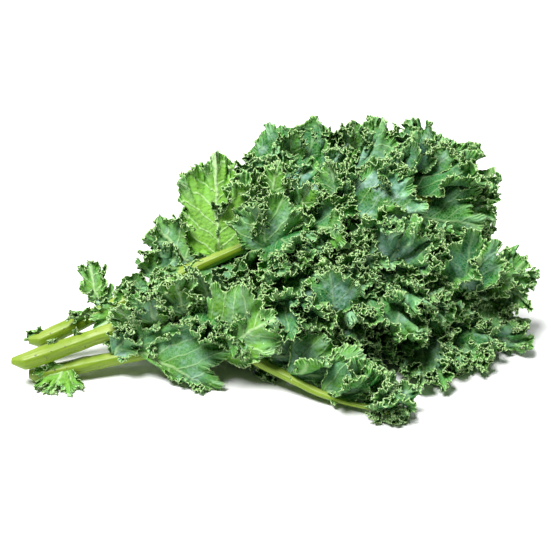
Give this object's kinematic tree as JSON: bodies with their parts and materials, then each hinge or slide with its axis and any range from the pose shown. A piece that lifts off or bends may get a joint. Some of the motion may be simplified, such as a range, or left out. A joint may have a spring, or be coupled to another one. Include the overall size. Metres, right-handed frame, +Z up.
{
  "type": "kale bunch",
  "caption": "Bunch of curly kale leaves lying on its side: thick grooved stems gathered at one end, ruffled blades fanned out at the other.",
  "frame": {"origin": "on the surface that the bunch lies on, under the middle of its box", "axes": "+Z up; the cut stem ends point to -X and the leaves fan out to +X; -Y is the side that faces the viewer"},
  "size_m": [0.4138, 0.2744, 0.1474],
  "materials": {
    "stem": "smooth pale green skin with fine lengthwise ribs",
    "blade": "matt blue-green leaf with a waxy bloom and a pale frilled edge",
    "leaflet": "young bright green leaf"
  },
  "bodies": {
    "root": {"stem_1": "stem", "stem_2": "stem", "stem_3": "stem", "stem_4": "stem", "stem_5": "stem", "blade_1": "blade", "blade_2": "blade", "blade_3": "blade", "blade_4": "blade", "blade_5": "blade", "leaflet_1_upper": "leaflet", "leaflet_1_back": "leaflet", "leaflet_1_front": "leaflet", "leaflet_1_low": "leaflet", "leaflet_2_low": "leaflet", "leaflet_3_front": "leaflet", "leaflet_3_upper": "leaflet"}
  },
  "joints": []
}
